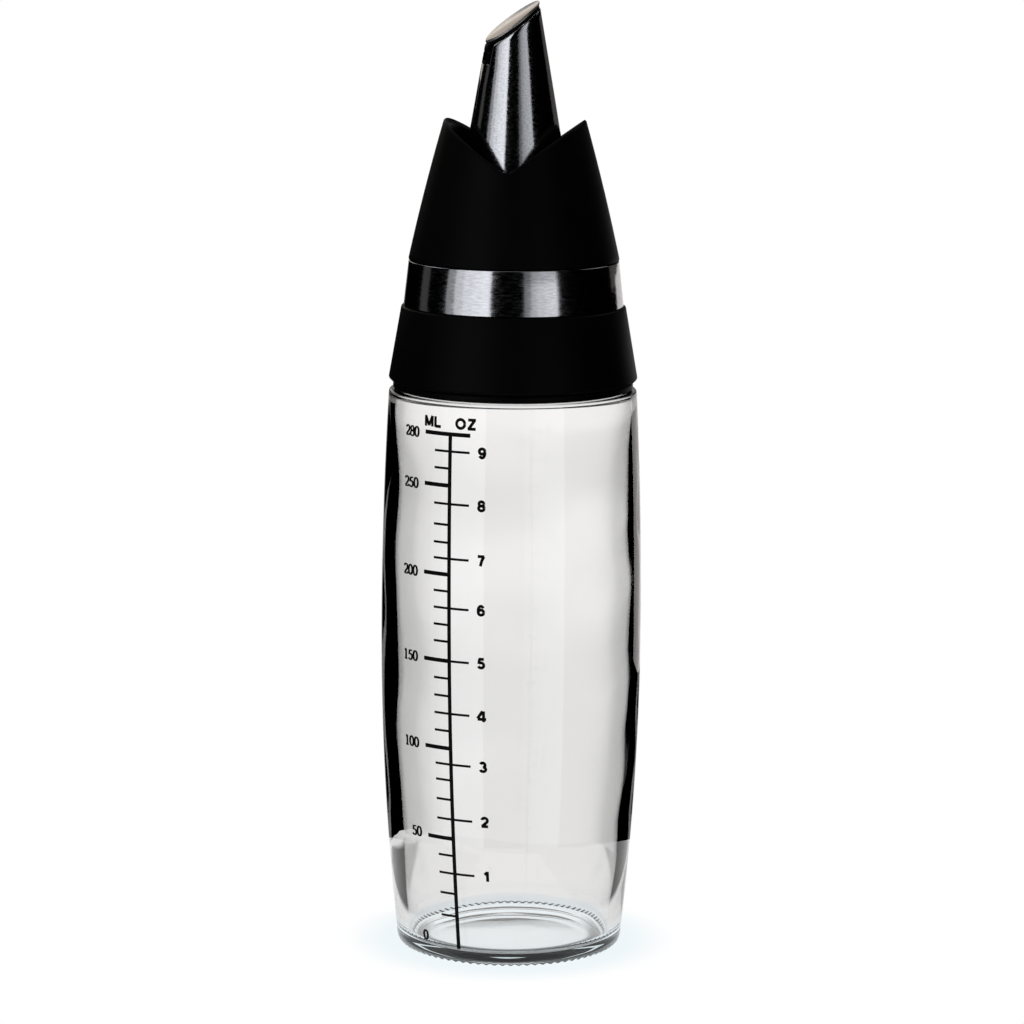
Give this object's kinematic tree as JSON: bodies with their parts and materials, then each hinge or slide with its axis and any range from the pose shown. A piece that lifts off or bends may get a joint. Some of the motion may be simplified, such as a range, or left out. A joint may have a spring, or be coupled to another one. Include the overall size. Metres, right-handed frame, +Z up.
{
  "type": "oil cruet",
  "caption": "Barrel-shaped glass oil cruet with a printed volume scale and a screw-on black and steel pourer whose slanted spout is closed by a hinged flap.",
  "frame": {"origin": "middle of the ring that the bottle stands on, at table level", "axes": "+Z up along the bottle's axis, +X towards the spout's tip, -X towards the flap's hinge"},
  "size_m": [0.0622, 0.0622, 0.2263],
  "materials": {
    "glass": "clear moulded glass with a faint blue-green tint where it is thick",
    "black_plastic": "satin black moulded plastic",
    "brushed_steel": "stainless steel with a fine satin brush round the axis",
    "pin_steel": "plain stainless wire",
    "silicone": "milky food-grade silicone"
  },
  "bodies": {
    "bottle": {"bottle": "glass"},
    "gasket": {"cap_gasket": "silicone"},
    "cap": {"inner_cap": "black_plastic", "skirt": "black_plastic", "steel_band": "brushed_steel", "hood": "black_plastic", "spout_seal": "silicone", "spout": "brushed_steel", "hinge_block": "black_plastic", "hinge_pin": "pin_steel"},
    "flap": {"flap_liner": "black_plastic", "flap_plate": "brushed_steel"}
  },
  "joints": [
    {"name": "cap_lift", "type": "slide", "parent": "bottle", "child": "gasket", "axis": [0, 0, 1], "range_m": [0, 0.006]},
    {"name": "cap_turn", "type": "hinge", "parent": "gasket", "child": "cap", "pos_m": [0, 0, 0.143], "axis": [0, 0, 1], "range_deg": [0, 540]},
    {"name": "flap_swing", "type": "hinge", "parent": "cap", "child": "flap", "pos_m": [-0.00554, 0, 0.21409], "axis": [0, -1, 0], "range_deg": [0, 45]}
  ],
  "couplings": [
    {"joint": "cap_lift", "follows": "cap_turn", "m_per_rad": 0.0006366}
  ]
}
